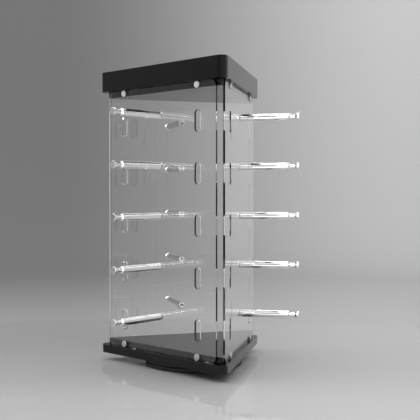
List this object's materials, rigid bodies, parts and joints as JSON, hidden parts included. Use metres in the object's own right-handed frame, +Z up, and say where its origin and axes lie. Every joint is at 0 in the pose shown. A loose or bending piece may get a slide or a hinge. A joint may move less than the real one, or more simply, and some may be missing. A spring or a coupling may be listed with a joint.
{
  "type": "eyeglass display rack",
  "caption": "Countertop rotating eyeglass rack: clear acrylic panels with chrome nose pegs and temple slots round a triangular tower, on a ball-bearing turntable.",
  "frame": {"origin": "on the turning axis, at the surface that the rubber pad rests on", "axes": "+Z up along the turning axis; -Y is the outward normal of the front panel, and the other two panels' outward normals lie at 30 and 150 degrees from +X in the XY plane"},
  "size_m": [0.267, 0.2893, 0.42],
  "materials": {
    "black_acrylic": "cast black acrylic sheet, machine-cut edges polished to a mirror gloss",
    "clear_acrylic": "clear cast acrylic sheet, 3 mm, laser-cut edges that look darker than the faces",
    "polished_chrome": "turned metal, polished and chrome plated",
    "screw_steel": "plain smooth flat cap heads, bright nickel finish",
    "moulded_black": "black injection-moulded plastic, satin",
    "rubber_black": "matt black non-slip rubber sheet",
    "nylon": "natural nylon, unpainted",
    "bearing_steel": "plain steel"
  },
  "bodies": {
    "base": {"rubber_pad": "rubber_black", "turntable_foot": "moulded_black", "pivot_rivet": "bearing_steel"},
    "ball_ring": {"ball_cage": "nylon", "ball_1": "bearing_steel", "ball_2": "bearing_steel", "ball_3": "bearing_steel", "ball_4": "bearing_steel", "ball_5": "bearing_steel"},
    "tower": {"header_shell": "black_acrylic", "header_floor": "black_acrylic", "top_block": "black_acrylic", "bottom_block": "black_acrylic", "base_plate": "black_acrylic", "panel_front": "clear_acrylic", "panel_right": "clear_acrylic", "panel_left": "clear_acrylic", "peg_front_1": "polished_chrome", "peg_front_2": "polished_chrome", "peg_front_3": "polished_chrome", "peg_front_4": "polished_chrome", "peg_front_5": "polished_chrome", "peg_right_1": "polished_chrome", "peg_right_2": "polished_chrome", "peg_right_3": "polished_chrome", "peg_right_4": "polished_chrome", "peg_right_5": "polished_chrome", "peg_left_1": "polished_chrome", "peg_left_2": "polished_chrome", "peg_left_3": "polished_chrome", "peg_left_4": "polished_chrome", "peg_left_5": "polished_chrome", "peg_screw_front_1": "polished_chrome", "peg_screw_front_2": "polished_chrome", "peg_screw_front_3": "polished_chrome", "peg_screw_front_4": "polished_chrome", "peg_screw_front_5": "polished_chrome", "peg_screw_right_1": "polished_chrome", "peg_screw_right_2": "polished_chrome", "peg_screw_right_3": "polished_chrome", "peg_screw_right_4": "polished_chrome", "peg_screw_right_5": "polished_chrome", "peg_screw_left_1": "polished_chrome", "peg_screw_left_2": "polished_chrome", "peg_screw_left_3": "polished_chrome", "peg_screw_left_4": "polished_chrome", "peg_screw_left_5": "polished_chrome", "panel_screw_front_top_left": "screw_steel", "panel_screw_front_top_right": "screw_steel", "panel_screw_front_bottom_left": "screw_steel", "panel_screw_front_bottom_right": "screw_steel", "panel_screw_right_top_left": "screw_steel", "panel_screw_right_top_right": "screw_steel", "panel_screw_right_bottom_left": "screw_steel", "panel_screw_right_bottom_right": "screw_steel", "panel_screw_left_top_left": "screw_steel", "panel_screw_left_top_right": "screw_steel", "panel_screw_left_bottom_left": "screw_steel", "panel_screw_left_bottom_right": "screw_steel", "turntable_rotor": "moulded_black"}
  },
  "joints": [
    {"name": "tower_spin", "type": "hinge", "parent": "base", "child": "tower", "pos_m": [0, 0, 0], "axis": [0, 0, 1], "continuous": true},
    {"name": "cage_spin", "type": "hinge", "parent": "base", "child": "ball_ring", "pos_m": [0, 0, 0], "axis": [0, 0, 1], "continuous": true}
  ],
  "couplings": [
    {"joint": "cage_spin", "follows": "tower_spin", "ratio": 0.5}
  ]
}
